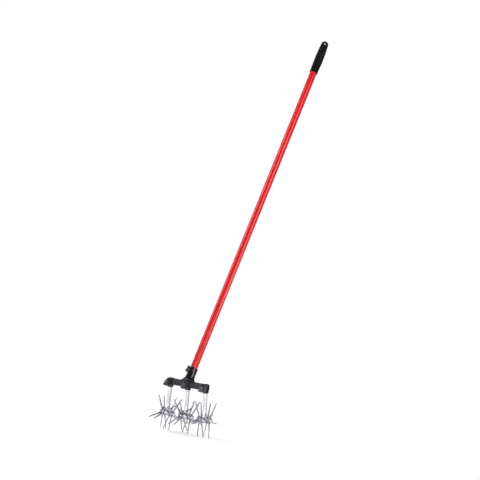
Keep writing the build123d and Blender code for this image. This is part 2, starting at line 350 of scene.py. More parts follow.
@dataclass(frozen=True)
class Moulding(Finish):
    """Glass-filled nylon with a spark-eroded skin; the low front of the mouldings, the lever tabs, is
    painted a lighter grey as painted light and made rougher.
    """

    flow: Mark = Mark(60.0, 4.0, 0.6, tone=0.7, rough=0.06)
    scuff: Mark = Mark(130.0, 3.0, edge=(0.6, 0.78), tone=0.5, rough=0.08)
    scuff_turn: Triple = (0.3, 0.2, 0.7)
    scuff_stretch: Triple = (1, 6, 1)
    skin: Mark = Mark(2600.0, 1.0)
    skin_depth: float = 0.000015
    tone_range: Span = (0.2, 1.0)
    # painted light: the lighter grey that the lit fronts of the lever tabs are painted
    painted_light_grey: Colour = (0.05, 0.048, 0.057, 1)
    lit_front: Span = (-0.015, -0.011)
    thumb_top: Span = (0.157, 0.162)
    lit_least: float = 0.6
    lit_patches: float = 0.8
    thumb_rough: float = 0.25
    shine: float = 0.6
    shine_tint: Colour = (0.9, 0.88, 1.0, 1)

    def surface(self, shade: Shade) -> Value:
        """Write satin black with flow marks, a fine skin, scuffs, and rougher tabs painted lighter grey as
        painted light.

        Args:
            shade: Tree to write into.

        Returns:
            The shader.
        """
        at = shade.where()
        flow = shade.mark(at, self.flow)
        scuff = shade.mark(shade.where(self.scuff_turn, self.scuff_stretch), self.scuff)
        # painted light: the low front of the mouldings, the lever tabs above all, is painted lighter grey
        # in patches and made rougher
        front = 1 - shade.axis(at, "Y").step(*self.lit_front)
        low = 1 - shade.axis(at, "Z").step(*self.thumb_top)
        lit_and_dulled = front * low
        share = (flow * self.flow.tone + scuff * self.scuff.tone).step(*self.tone_range)
        tone = shade.blend(share, self.colour, self.other)
        lit_share = lit_and_dulled * (self.lit_least + flow * self.lit_patches)
        dull = flow * self.flow.rough + scuff * self.scuff.rough + lit_and_dulled * self.thumb_rough
        return shade.node("ShaderNodeBsdfPrincipled", inputs={
            "Base Color": shade.blend(lit_share, tone, self.painted_light_grey),
            "Roughness": self.roughness + dull,
            "Specular IOR Level": self.shine,
            "Specular Tint": self.shine_tint,
            "Normal": shade.bump(shade.mark(at, self.skin), self.skin_depth)})


@dataclass(frozen=True)
class ZincPlate(Finish):
    """Bright zinc plate with faint crystals and draw lines along one way."""

    grain: Triple = (1.0, 1.0, 0.06)
    lines: float = 2400.0
    drawn: Mark = Mark(1.0, fine=0.6, rough=0.06)
    line_depth: float = 0.000012
    crystals: float = 320.0
    crystal_tone: float = 0.45
    cloud: Mark = Mark(110.0, 3.0, tone=0.55)
    dark_rough: float = 0.14

    def surface(self, shade: Shade) -> Value:
        """Write plated steel whose crystals vary the tone and whose lines catch the light.

        Args:
            shade: Tree to write into.

        Returns:
            The shader.
        """
        at = shade.where()
        crystal = shade.node("ShaderNodeTexVoronoi", {"feature": "F1"},
                             {"Vector": at, "Scale": self.crystals}, output="Color")
        tone = shade.node("ShaderNodeSeparateColor", inputs={0: crystal})
        along = shade.where(stretch=tuple(self.lines * stretch for stretch in self.grain))
        drawn = shade.mark(along, self.drawn)
        share = tone * self.crystal_tone + shade.mark(at, self.cloud) * self.cloud.tone
        return shade.node("ShaderNodeBsdfPrincipled", inputs={
            "Base Color": shade.blend(share, self.colour, self.other),
            "Metallic": 1.0,
            "Roughness": self.roughness + share * self.dark_rough + drawn * self.drawn.rough,
            "Normal": shade.bump(drawn, self.line_depth)})


@dataclass(frozen=True)
class DrawnWire(Finish):
    """Oiled spring wire."""

    oil: Mark = Mark(420.0, 3.0, edge=(0.4, 0.7), rough=0.15)
    lines: Mark = Mark(5000.0, 1.0)
    line_stretch: Triple = (0.2, 1, 1)
    line_depth: float = 0.00001

    def surface(self, shade: Shade) -> Value:
        """Write drawn steel with dark oil in its lines.

        Args:
            shade: Tree to write into.

        Returns:
            The shader.
        """
        oil = shade.mark(shade.where(), self.oil)
        lines = shade.mark(shade.where(stretch=self.line_stretch), self.lines)
        return shade.node("ShaderNodeBsdfPrincipled", inputs={
            "Base Color": shade.blend(oil, self.colour, self.other),
            "Metallic": 1.0,
            "Roughness": self.roughness + oil * self.oil.rough,
            "Normal": shade.bump(lines, self.line_depth)})


FINISHES: dict[Slot, Finish] = {finish.slot: finish for finish in (
    GlossPaint(Slot.RED_PAINT, (0.7, 0.008, 0.011, 1), (0.62, 0.006, 0.009, 1), 0.22),
    Vinyl(Slot.GRIP_VINYL, (0.0036, 0.0028, 0.0023, 1), (0.0095, 0.008, 0.007, 1), 0.4),
    Moulding(Slot.BLACK_MOULDING, (0.006, 0.006, 0.0075, 1), (0.013, 0.0125, 0.015, 1), 0.12),
    ZincPlate(Slot.ZINC_LEG, (0.88, 0.87, 0.91, 1), (0.74, 0.73, 0.78, 1), 0.16),
    ZincPlate(Slot.ZINC_WHEEL, (0.7, 0.69, 0.74, 1), (0.4, 0.39, 0.44, 1), 0.15, (1, 1, 1), 1600.0),
    ZincPlate(Slot.ZINC_HARDWARE, (0.84, 0.84, 0.86, 1), (0.66, 0.66, 0.69, 1), 0.15, (0.06, 1, 1)),
    DrawnWire(Slot.SPRING_STEEL, (0.46, 0.46, 0.48, 1), (0.2, 0.19, 0.19, 1), 0.25),
)}

TO_X = Matrix.Rotation(math.radians(90), 4, "Y")
TO_Y = Matrix.Rotation(math.radians(90), 4, "X")


def ramp(value: float, low: float, high: float) -> float:
    """Smooth step from 0 at low to 1 at high."""
    t = min(1.0, max(0.0, (value - low) / (high - low)))
    return t * t * (3 - 2 * t)


def sharp_edges(bm: Mesh, degrees: float) -> Edges:
    """Edges between two faces whose normals meet at more than an angle."""
    least = math.radians(degrees)
    return [e for e in bm.edges if len(e.link_faces) == 2 and e.calc_face_angle() > least]


def ease(bm: Mesh, width: float, degrees: float = 32.0, segments: int = 2) -> None:
    """Round the edges of a mesh that are sharper than an angle, to a width."""
    bmesh.ops.bevel(bm, geom=sharp_edges(bm, degrees), offset=width, offset_type="OFFSET",
                    segments=segments, profile=0.5, affect="EDGES", clamp_overlap=True, material=-1,
                    miter_outer="ARC", loop_slide=True)


def face_out(bm: Mesh) -> None:
    """Make the faces of a mesh agree, outwards where it is closed."""
    bmesh.ops.recalc_face_normals(bm, faces=bm.faces)


def draw_out(bm: Mesh, edges: Edges) -> tuple[Verts, Edges]:
    """Extrude open edges on the spot.

    Args:
        bm: Mesh to change.
        edges: Edges to draw out.

    Returns:
        The new corners and the new open edges.
    """
    made = bmesh.ops.extrude_edge_only(bm, edges=edges)["geom"]
    fresh = [g for g in made if isinstance(g, bmesh.types.BMVert)]
    front = [g for g in made if isinstance(g, bmesh.types.BMEdge) and all(v in fresh for v in g.verts)]
    return fresh, front


def lathe(outline: Outline, steps: int, ring: bool = False) -> Mesh:
    """Spin an outline of (radius, height) about the Z axis.

    Args:
        outline: Corners of the section.
        steps: Facets round the turn.
        ring: True where the section closes on itself, False where both its ends are on the axis.

    Returns:
        The turned mesh, closed and facing outwards.
    """
    bm = bmesh.new()
    corners = [bm.verts.new((radius, 0, height)) for radius, height in outline]
    pairs = list(zip(corners, corners[1:]))
    if ring:
        pairs.append((corners[-1], corners[0]))
    section = [bm.edges.new(pair) for pair in pairs]
    bmesh.ops.spin(bm, geom=corners + section, cent=(0, 0, 0), axis=(0, 0, 1), angle=FULL_TURN,
                   steps=steps, use_merge=True)
    bmesh.ops.remove_doubles(bm, verts=bm.verts, dist=TINY)
    face_out(bm)
    return bm


def sleeve(bore: float, radius: float, along: Span, edge: float, facets: int) -> Mesh:
    """Turn a tube about the Z axis.

    Args:
        bore: Inner radius.
        radius: Outer radius.
        along: Its two ends along the axis, in any order.
        edge: Width of its rounded edges.
        facets: Facets round it.

    Returns:
        The tube.
    """
    near, far = sorted(along)
    bm = lathe([(bore, near), (radius, near), (radius, far), (bore, far)], facets, ring=True)
    ease(bm, edge)
    return bm


def plug(radius: float, half: float, edge: float, facets: int, turn: Matrix) -> Mesh:
    """Turn a round bar with chamfered ends.

    Args:
        radius: Radius of the bar.
        half: Half its length.
        edge: Size of the chamfers.
        facets: Facets round it.
        turn: Place of its middle and turn from the Z axis to its own axis.

    Returns:
        The bar.
    """
    bm = lathe([(0, -half), (radius - edge, -half), (radius, edge - half), (radius, half - edge),
                (radius - edge, half), (0, half)], facets)
    bmesh.ops.transform(bm, matrix=turn, verts=bm.verts)
    return bm


def scratch_object(bm: Mesh, name: str) -> bpy.types.Object:
    """Put a mesh in the scene under a name; the mesh is used up.

    Args:
        bm: Mesh to use.
        name: Name of the object.

    Returns:
        The object.
    """
    mesh = bpy.data.meshes.new(name)
    bm.to_mesh(mesh)
    bm.free()
    made = bpy.data.objects.new(name, mesh)
    bpy.context.collection.objects.link(made)
    return made


def combine(body: Mesh, tool: Mesh, operation: str) -> Mesh:
    """Join or cut two closed meshes; both are used up.

    Args:
        body: Mesh that is kept.
        tool: Mesh that joins or cuts it.
        operation: UNION or DIFFERENCE.

    Returns:
        The new mesh.
    """
    kept, cutter = scratch_object(body, "kept"), scratch_object(tool, "cutter")
    modifier = kept.modifiers.new("combine", "BOOLEAN")
    modifier.operation = operation
    modifier.solver = "EXACT"
    modifier.object = cutter
    result = bpy.data.meshes.new_from_object(kept.evaluated_get(bpy.context.evaluated_depsgraph_get()))
    bm = bmesh.new()
    bm.from_mesh(result)
    for made in (kept, cutter):
        bpy.data.meshes.remove(made.data)
    bpy.data.meshes.remove(result)
    bmesh.ops.dissolve_degenerate(bm, dist=TINY, edges=bm.edges)
    return bm


def block(x: Span, y: Span, z: Span) -> Mesh:
    """Box between two values along each axis, for cutting.

    Args:
        x: Low and high end along X.
        y: Low and high end along Y.
        z: Low and high end along Z.

    Returns:
        The box.
    """
    bm = bmesh.new()
    bmesh.ops.create_cube(bm, size=1)
    bmesh.ops.scale(bm, vec=(x[1] - x[0], y[1] - y[0], z[1] - z[0]), verts=bm.verts)
    bmesh.ops.translate(bm, vec=(sum(x) / 2, sum(y) / 2, sum(z) / 2), verts=bm.verts)
    return bm


def rod(radius: float, half: float, turn: Matrix, segments: int = 48) -> Mesh:
    """Round bar through the origin, for cutting.

    Args:
        radius: Radius of the bar.
        half: Half its length.
        turn: Turn from the Z axis to its own axis.
        segments: Facets round it.

    Returns:
        The bar.
    """
    bm = bmesh.new()
    bmesh.ops.create_cone(bm, cap_ends=True, segments=segments, radius1=radius, radius2=radius,
                          depth=2 * half)
    bmesh.ops.transform(bm, matrix=turn, verts=bm.verts)
    return bm


@dataclass(frozen=True)
class Stance:
    """Where the sub-assemblies stand, in millimetres and degrees."""

    axle_height: float = 54.0
    leg_drop: float = 81.0
    leg_pitch: float = 66.0
    leg_splay: float = 2.5
    neck_rise: float = 26.0
    handle_lean: float = 30.0
    leg_pivot: Span = (-15.3, 7.5)
    neck_pivot: Span = (-17.4, 38.4)
    grip_along: float = 1105.0
    grip_turn: float = 36.9

    @property
    def mouth_height(self) -> float:
        """Height of the boss mouths above the ground."""
        return self.axle_height + self.leg_drop

    def leg(self, side: Side) -> Matrix:
        """Frame of a leg: origin at its boss mouth, Z up the leg, X along its axle."""
        lean = Matrix.Rotation(math.radians(-side.value * self.leg_splay), 4, "Y")
        return Matrix.Translation((side.value * self.leg_pitch, 0, self.mouth_height)) @ lean

    def axle(self, side: Side) -> Matrix:
        """Frame of an axle: origin at the middle of the leg's eye."""
        return self.leg(side) @ Matrix.Translation((0, 0, -self.leg_drop))

    def lever(self, side: Side) -> Matrix:
        """Frame of a leg lever's pivot."""
        return self.leg(side) @ Matrix.Translation((0, *self.leg_pivot))

    def neck(self) -> Matrix:
        """Frame of the neck: Z up the handle."""
        lean = Matrix.Rotation(math.radians(-self.handle_lean), 4, "X")
        return Matrix.Translation((0, 0, self.mouth_height + self.neck_rise)) @ lean

    def neck_lever(self) -> Matrix:
        """Frame of the neck lever's pivot."""
        return self.neck() @ Matrix.Translation((0, *self.neck_pivot))

    def grip(self) -> Matrix:
        """Frame of the grip: origin at its mouth, -Y towards the flat with the hang hole."""
        turn = Matrix.Rotation(math.radians(self.grip_turn), 4, "Z")
        return self.neck() @ Matrix.Translation((0, 0, self.grip_along)) @ turn


STANCE = Stance()


@dataclass(frozen=True)
class PivotPin:
    """Steel pin that a thumb lever turns on."""

    radius: float = 1.5
    half: float = 7.2
    edge: float = 0.25
    facets: int = 32

    def mesh(self) -> Mesh:
        """Turn the pin along the X axis."""
        return plug(self.radius, self.half, self.edge, self.facets, TO_X)


@dataclass(frozen=True)
class Bend:
    """Stretch over which a piece turns from its own body to another, between two points in metres."""

    body: str
    start: Vector
    end: Vector


@dataclass
class Assembly(ABC):
    """A sub-assembly that builds its pieces and dresses them."""

    pieces: list[bpy.types.Object] = field(default_factory=list, init=False)

    @abstractmethod
    def build(self) -> None:
        """Build and dress every piece."""

    def settle(self, bm: Mesh, name: str, place: Matrix, slot: Slot, body: str, node: str,
               crease: float = 38.0, bend: Bend | None = None) -> None:
        """Turn a mesh in local millimetres into a finished piece; the mesh is used up.

        Args:
            bm: Mesh of the piece.
            name: Name of the piece.
            place: Frame that the mesh was built in, in millimetres.
            slot: Slot whose finish it takes.
            body: Body that it rides on, unless a bend is given.
            node: Node that it stands for.
            crease: Angle in degrees above which an edge stays sharp.
            bend: If given, the piece keeps its baked transform and rides on no body; the stretch in it is
                not used.
        """
        bmesh.ops.transform(bm, matrix=Matrix.Scale(MM, 4) @ place, verts=bm.verts)
        piece = scratch_object(bm, name)
        piece.data.shade_smooth()
        piece.data.set_sharp_from_angle(angle=math.radians(crease))
        piece.data.materials.append(FINISHES[slot].material())
        if bend:
            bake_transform(piece)
        else:
            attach(piece, body)
        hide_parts(node)
        self.pieces.append(piece)


@dataclass
class SoftenedNodes(Assembly):
    """Moulded pieces whose solid is right: a copy with its edges rounded stands for each."""

    edge: float = 0.5
    flat: float = math.radians(0.6)
    merge: float = 0.002
    sliver: float = 0.02

    def soften(self, name: str, node: str, body: str) -> None:
        """Copy a node, join its flat faces and round its sharp edges.

        Args:
            name: Name of the new piece.
            node: Node that is copied.
            body: Body that it rides on.
        """
        bm = bmesh.new()
        bm.from_mesh(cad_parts[node].data)
        bmesh.ops.scale(bm, vec=(1 / MM,) * 3, verts=bm.verts)
        bmesh.ops.remove_doubles(bm, verts=bm.verts, dist=self.merge)
        bmesh.ops.dissolve_limit(bm, angle_limit=self.flat, verts=bm.verts, edges=bm.edges)
        bmesh.ops.dissolve_degenerate(bm, dist=self.sliver, edges=bm.edges)
        ease(bm, self.edge)
        self.settle(bm, name, Matrix.Identity(4), Slot.BLACK_MOULDING, body, node)

    def build(self) -> None:
        """Build the head and its four thumb levers."""
        self.soften("moulded_head", "head", "frame")
        self.soften("neck_thumb_lever", "neck_lever", "neck_lever")
        for side in Side:
            node = f"lever_{side.label}"
            self.soften(f"thumb_{node}", node, node)


@dataclass
class HandleTube(Assembly):
    """Painted steel tube with the slot that the neck lever's nose drops into."""

    radius: float = 11.1
    wall: float = 1.4
    foot: float = 7.5
    top: float = 1190.5
    facets: int = 128
    slot_half: float = 3.6
    slot_along: Span = (23.8, 29.8)
    lip: float = 0.3
    crease: float = 30.0

    def build(self) -> None:
        """Build the tube and cut its slot."""
        bm = sleeve(self.radius - self.wall, self.radius, (self.foot, self.top), self.lip, self.facets)
        across, front = (-self.slot_half, self.slot_half), (-2 * self.radius, 0)
        bm = combine(bm, block(across, front, self.slot_along), "DIFFERENCE")
        self.settle(bm, "painted_tube", STANCE.neck(), Slot.RED_PAINT, "frame", "handle_tube", self.crease)


@dataclass
class EndGrip(Assembly):
    """Moulded grip: raised slanted ribs, two smooth thumb panels and a flattened end with a hang hole."""

    length: float = 119.5
    bore: float = 11.12
    cover: float = 86.0
    shape: tuple[Span, ...] = ((12.7, 0.0), (12.8, 16.7), (13.5, 34.7), (13.7, 55.0), (13.2, 78.9),
                               (12.1, 96.8), (11.4, 107.55))
    facets: int = 180
    ring_step: float = 0.62
    end_rings: int = 26
    crease: float = 42.0
    flat_half: float = 5.5
    flat_start: float = 89.5
    flat_slope: float = 12.0
    flat_rise: float = 8.0
    hang_radius: float = 4.5
    hang_from_end: float = 8.8
    hang_facets: int = 56
    lip_radius: float = 5.5
    lip_rise: float = 0.4
    lip_edge: float = 0.5
    rib_rise: float = 0.75
    rib_sink: float = 0.45
    rib_pitch: float = 9.0
    rib_slant: float = 7.5
    rib_span: Span = (9.0, 94.0)
    rib_fade: float = 3.0
    rib_edge: Span = (0.3, 0.75)
    panel_turn: float = math.radians(27)
    panel_half: Span = (math.radians(34), 30.0)
    panel_along: float = 52.0
    panel_gap: Span = (1.06, 1.16)
    rim_inner: Span = (0.9, 0.96)
    rim_outer: Span = (1.02, 1.08)
    rim_depth: float = 0.35
    chevron_top: float = 24.0
    bead_rise: float = 0.5
    bead_along: Span = (1.2, 4.2)
    soft: float = 1.0

    def radius_at(self, along: float) -> float:
        """Radius of the plain grip, on a smooth curve through its shape points.

        Args:
            along: Distance from the mouth.

        Returns:
            The radius.
        """
        radii = [radius for radius, _ in self.shape]
        places = [place for _, place in self.shape]
        last = len(places) - 1
        if along >= places[-1]:
            share = min(1.0, (along - places[-1]) / (self.length - places[-1]))
            return radii[-1] * math.sqrt(max(0.0, 1 - share * share))
        i = max(k for k in range(last) if places[k] <= along)
        slopes = []
        for k in (i, i + 1):
            before, after = max(k - 1, 0), min(k + 1, last)
            slopes.append((radii[after] - radii[before]) / (places[after] - places[before]))
        gap = places[i + 1] - places[i]
        t = (along - places[i]) / gap
        return (radii[i] * (1 + 2 * t) * (1 - t) ** 2 + slopes[0] * gap * t * (1 - t) ** 2
                + radii[i + 1] * t * t * (3 - 2 * t) + slopes[1] * gap * t * t * (t - 1))

    def relief(self, turn: float, along: float) -> float:
        """Height of the moulded pattern over the plain grip.

        Args:
            turn: Angle round the grip from the hang hole's side, in radians.
            along: Distance from the mouth.

        Returns:
            The height.
        """
        off = math.remainder(turn - self.panel_turn, math.pi)
        inside = math.hypot(off / self.panel_half[0], (along - self.panel_along) / self.panel_half[1])
        low, high = self.rib_span
        ribbed = ramp(along, low - self.rib_fade, low) * (1 - ramp(along, high - self.rib_fade, high))
        ribbed *= ramp(inside, *self.panel_gap)
        chevron = 1 - ramp(along, self.chevron_top - self.soft, self.chevron_top + self.soft)
        slant = turn * (1 - chevron) - abs(off) * chevron
        wave = 0.5 + 0.5 * math.cos(FULL_TURN * (along + slant * self.rib_slant) / self.rib_pitch)
        rib = ramp(wave, *self.rib_edge) * ribbed
        rim = ramp(inside, *self.rim_inner) * (1 - ramp(inside, *self.rim_outer))
        near, far = self.bead_along
        bead = ramp(along, near - self.soft, near) * (1 - ramp(along, far, far + self.soft))
        return (rib - self.rib_sink * ribbed) * self.rib_rise - self.rim_depth * rim + bead * self.bead_rise

    def flatten(self, along: float) -> float:
        """Half thickness that the flats leave at a distance from the mouth."""
        drop = max(0.0, along - self.flat_start) / self.flat_slope * self.flat_rise
        return max(self.flat_half, self.flat_half + self.flat_rise - drop)

    def skin(self) -> Mesh:
        """Turn the plain grip on closely spaced rings and press the pattern into it.

        Returns:
            The grip without its hang hole.
        """
        straight = self.shape[-1][1]
        rings = round(straight / self.ring_step)
        places = [straight * k / rings for k in range(rings + 1)]
        for k in range(1, self.end_rings + 1):
            places.append(straight + (self.length - straight) * math.sin(k / self.end_rings * math.pi / 2))
        outline = [(self.radius_at(place), place) for place in places]
        outline[-1] = (0.0, self.length)
        socket = [(0.0, self.cover), (self.bore, self.cover), (self.bore, 0.0)]
        bm = lathe(socket + outline, self.facets)
        for vert in bm.verts:
            radius = math.hypot(vert.co.x, vert.co.y)
            if radius < self.bore + TINY and vert.co.z < self.cover + TINY:
                continue
            turn = math.atan2(vert.co.x, -vert.co.y)
            if radius > TINY:
                grown = (radius + self.relief(turn, vert.co.z)) / radius
                vert.co.x *= grown
                vert.co.y *= grown
            if vert.co.z > self.flat_start:
                limit = self.flatten(vert.co.z)
                vert.co.y = max(-limit, min(limit, vert.co.y))
        face_out(bm)
        return bm

    def build(self) -> None:
        """Build the grip, its lip round the hang hole and the hole."""
        bm = self.skin()
        at_hole = Matrix.Translation((0, 0, self.length - self.hang_from_end)) @ TO_Y
        half = self.flat_half + self.lip_rise
        bm = combine(bm, plug(self.lip_radius, half, self.lip_edge, self.hang_facets, at_hole), "UNION")
        bm = combine(bm, rod(self.hang_radius, 3 * half, at_hole, self.hang_facets), "DIFFERENCE")
        self.settle(bm, "vinyl_grip", STANCE.grip(), Slot.GRIP_VINYL, "frame", "end_grip", self.crease)


@dataclass
class Leg(Assembly):
    """Leg rod forged flat into an eye, with its axle, washers and lever pin."""

    side: Side = Side.MIDDLE
    radius: float = 6.0
    top: float = 23.5
    chamfer: float = 1.2
    ring_down: float = 12.0
    facets: int = 48
    flat_half: float = 5.0
    eye_radius: float = 9.0
    eye_neck: float = 0.86
    round_below: float = 4.0
    forge_start: float = 34.0
    forge_end: float = 16.0
    forge_rings: int = 10
    eye_rings: int = 18
    hole: float = 4.02
    notch: Span = (14.6, 20.4)
    notch_depth: float = 2.0
    axle_radius: float = 4.0
    axle_facets: int = 56
    head_radius: float = 6.2
    head_thick: float = 3.4
    head_dome: float = 2.8
    head_at: float = 24.8
    dome_steps: int = 6
    washer_bore: float = 4.02
    washer_radius: float = 7.0
    washer_thick: float = 1.2
    washer_at: Span = (5.15, 23.45)
    edge: float = 0.25

    def sections(self) -> list[Triple]:
        """Half thickness and half width of the rod down its length.

        Returns:
            Rows of (height over the axle, half thickness along X, half width along Y).
        """
        over = STANCE.leg_drop + self.top
        straight = (over - self.chamfer, over - self.ring_down, self.forge_start)
        rows = [(height, self.radius, self.radius) for height in straight]
        neck = self.eye_radius * self.eye_neck
        for k in range(1, self.forge_rings + 1):
            share = k / self.forge_rings
            pressed = ramp(share, 0, 1)
            rows.append((self.forge_start + (self.forge_end - self.forge_start) * share,
                         self.radius + (self.flat_half - self.radius) * pressed,
                         self.radius + (neck - self.radius) * pressed))
        drop = self.forge_end + self.eye_radius
        for k in range(1, self.eye_rings):
            height = self.forge_end - drop * math.sin(k / self.eye_rings * math.pi / 2)
            half = neck + (self.eye_radius - neck) * (self.forge_end - height) / self.forge_end
            if height < self.round_below:
                half = math.sqrt(self.eye_radius ** 2 - height ** 2)
            rows.append((height, self.flat_half, half))
        return rows

    def rod(self) -> Mesh:
        """Draw the rod down from its chamfered top, pressing it flat on the way to the eye.

        Returns:
            The leg with its hole and latch notch, in the leg's frame.
        """
        bm = bmesh.new()
        order = bmesh.ops.create_circle(bm, cap_ends=True, segments=self.facets,
                                        radius=self.radius - self.chamfer)["verts"]
        ways = [v.co.normalized() for v in order]
        bmesh.ops.translate(bm, vec=(0, 0, STANCE.leg_drop + self.top), verts=order)
        edges = bm.edges[:]
        for height, thick, wide in self.sections():
            fresh, edges = draw_out(bm, edges)
            below = {}
            for vert in fresh:
                above = next(e.other_vert(vert) for e in vert.link_edges if e.other_vert(vert) not in fresh)
                below[above] = vert
            order = [below[above] for above in order]
            for vert, way in zip(order, ways):
                full = max(self.radius, thick) * way.x
                vert.co = (max(-thick, min(thick, full)), wide * way.y, height)
        bmesh.ops.holes_fill(bm, edges=edges, sides=0)
        face_out(bm)
        bm = combine(bm, rod(self.hole, 2 * self.radius, TO_X), "DIFFERENCE")
        bmesh.ops.translate(bm, vec=(0, 0, -STANCE.leg_drop), verts=bm.verts)
        front = -self.radius + self.notch_depth
        wide = 2 * self.radius
        return combine(bm, block((-wide, wide), (-wide, front), self.notch), "DIFFERENCE")

    def axle(self) -> Mesh:
        """Turn the axle with its two domed heads.

        Returns:
            The axle along X.
        """
        end, dome = self.head_at + self.head_thick, self.head_dome
        angles = [math.pi / 2 * k / self.dome_steps for k in range(self.dome_steps + 1)]
        cap = [(self.head_radius - dome * (1 - math.cos(a)), end - dome * (1 - math.sin(a)))
               for a in angles]
        half = [(self.axle_radius, self.head_at), (self.head_radius - self.edge, self.head_at),
                (self.head_radius, self.head_at + self.edge)] + cap + [(0.0, end)]
        outline = [(radius, -along) for radius, along in reversed(half)] + half
        bm = lathe(outline, self.axle_facets)
        bmesh.ops.transform(bm, matrix=TO_X, verts=bm.verts)
        return bm

    def washers(self) -> Mesh:
        """Turn the four washers on the axle.

        Returns:
            The washers, in the axle's frame.
        """
        bm = bmesh.new()
        for start in self.washer_at:
            for wheel in Wheel:
                along = (wheel.value * start, wheel.value * (start + self.washer_thick))
                one = sleeve(self.washer_bore, self.washer_radius, along, self.edge, self.facets)
                mesh = bpy.data.meshes.new("washer")
                one.to_mesh(mesh)
                one.free()
                bm.from_mesh(mesh)
                bpy.data.meshes.remove(mesh)
        bmesh.ops.transform(bm, matrix=TO_X, verts=bm.verts)
        return bm

    def build(self) -> None:
        """Build the leg and the hardware on it."""
        label = self.side.label
        at_axle = STANCE.axle(self.side)
        self.settle(self.rod(), f"leg_rod_{label}", STANCE.leg(self.side), Slot.ZINC_LEG, "frame",
                    f"leg_{label}")
        self.settle(self.axle(), f"axle_pin_{label}", at_axle, Slot.ZINC_HARDWARE, "frame", f"axle_{label}")
        self.settle(self.washers(), f"axle_washers_{label}", at_axle, Slot.ZINC_HARDWARE, "frame",
                    f"washers_{label}")
        self.settle(PivotPin().mesh(), f"latch_pin_{label}", STANCE.lever(self.side), Slot.ZINC_HARDWARE,
                    "frame", f"lever_pin_{label}")


@dataclass
class SpikedWheel(Assembly):
    """One wheel: a hub sleeve that carries two stamped stars."""

    side: Side = Side.MIDDLE
    wheel: Wheel = Wheel.A
    turn: float = 0.0
    hub_start: float = 6.5
    hub_length: float = 16.8
    hub_radius: float = 6.5
    hub_bore: float = 4.06
    hub_edge: float = 0.5
    hub_facets: int = 56
    inner_at: float = 10.6
    outer_at: float = 19.5
    inner_bend: float = -1.8
    outer_bend: float = 10.5
    thick: float = 2.5
    star_bore: float = 6.52
    disc_radius: float = 10.0
    disc_facets: int = 40
    points: int = 4
    root_facets: int = 4
    bend_radius: float = 9.0
    tip_radius: float = 54.0
    root_width: float = 6.0
    tip_width: float = 3.4
    nose_width: float = 1.6
    nose_length: float = 3.0
    edge: float = 0.4
    edge_angle: float = 40.0

    def hub(self) -> Mesh:
        """Turn the hub sleeve.

        Returns:
            The hub, in the axle's frame.
        """
        along = (self.wheel.value * self.hub_start, self.wheel.value * (self.hub_start + self.hub_length))
        bm = sleeve(self.hub_bore, self.hub_radius, along, self.hub_edge, self.hub_facets)
        bmesh.ops.transform(bm, matrix=TO_X, verts=bm.verts)
        return bm

    def blank(self) -> Mesh:
        """Lay out the flat star: a ring whose rim is drawn out into points.

        Returns:
            The star as a flat sheet in the YZ plane, with its first point up.
        """
        bm = bmesh.new()
        rims = []
        for radius in (self.star_bore, self.disc_radius):
            ring = bmesh.ops.create_circle(bm, cap_ends=False, segments=self.disc_facets,
                                           radius=radius)["verts"]
            rims += [e for e in bm.edges if all(v in ring for v in e.verts)]
        bmesh.ops.bridge_loops(bm, edges=rims)
        half = self.root_facets / self.disc_facets * math.pi + TINY
        rim = self.disc_radius - TINY
        outer = [e for e in bm.edges if len(e.link_faces) == 1 and e.verts[0].co.length > rim]
        rows = ((self.tip_radius - self.nose_length, self.tip_width), (self.tip_radius, self.nose_width))
        for k in range(self.points):
            angle = k * FULL_TURN / self.points
            way = Vector((math.sin(angle), math.cos(angle), 0))
            across = Vector((way.y, -way.x, 0))
            front = [e for e in outer if ((e.verts[0].co + e.verts[1].co) / 2).angle(way) < half]
            width = self.root_width
            for along, new_width in rows:
                fresh, front = draw_out(bm, front)
                for vert in fresh:
                    vert.co = way * along + across * (vert.co.dot(across) * new_width / width)
                width = new_width
        stand = Matrix(((0, 0, 1, 0), (-1, 0, 0, 0), (0, 1, 0, 0), (0, 0, 0, 1)))
        bmesh.ops.transform(bm, matrix=stand, verts=bm.verts)
        return bm

    def star(self, at: float, bend: float) -> Mesh:
        """Give the blank its thickness, ease its edges, bend its points and turn it to its rest angle.

        Args:
            at: Place of the plate's middle along the axle, outwards.
            bend: How far the tips lean outwards.

        Returns:
            The star.
        """
        bm = self.blank()
        face_out(bm)
        made = bmesh.ops.extrude_face_region(bm, geom=bm.faces[:])["geom"]
        far = [g for g in made if isinstance(g, bmesh.types.BMVert)]
        bmesh.ops.translate(bm, vec=(self.thick, 0, 0), verts=far)
        bmesh.ops.translate(bm, vec=(-self.thick / 2, 0, 0), verts=bm.verts)
        face_out(bm)
        ease(bm, self.edge, self.edge_angle)
        slope = bend / (self.tip_radius - self.bend_radius)
        for vert in bm.verts:
            over = math.hypot(vert.co.y, vert.co.z) - self.bend_radius
            vert.co.x += self.wheel.value * (max(0.0, over) * slope + at)
        turn = Matrix.Rotation(math.radians(self.turn), 3, "X")
        bmesh.ops.rotate(bm, cent=(0, 0, 0), matrix=turn, verts=bm.verts)
        return bm

    def build(self) -> None:
        """Build the hub and its two stars."""
        tag = f"{self.side.label}_{self.wheel.label}"
        body = f"wheel_{tag}"
        place = STANCE.axle(self.side)
        self.settle(self.hub(), f"wheel_hub_{tag}", place, Slot.ZINC_WHEEL, body, f"hub_{tag}")
        self.settle(self.star(self.inner_at, self.inner_bend), f"star_plate_in_{tag}", place,
                    Slot.ZINC_WHEEL, body, f"star_in_{tag}")
        self.settle(self.star(self.outer_at, self.outer_bend), f"star_plate_out_{tag}", place,
                    Slot.ZINC_WHEEL, body, f"star_out_{tag}")


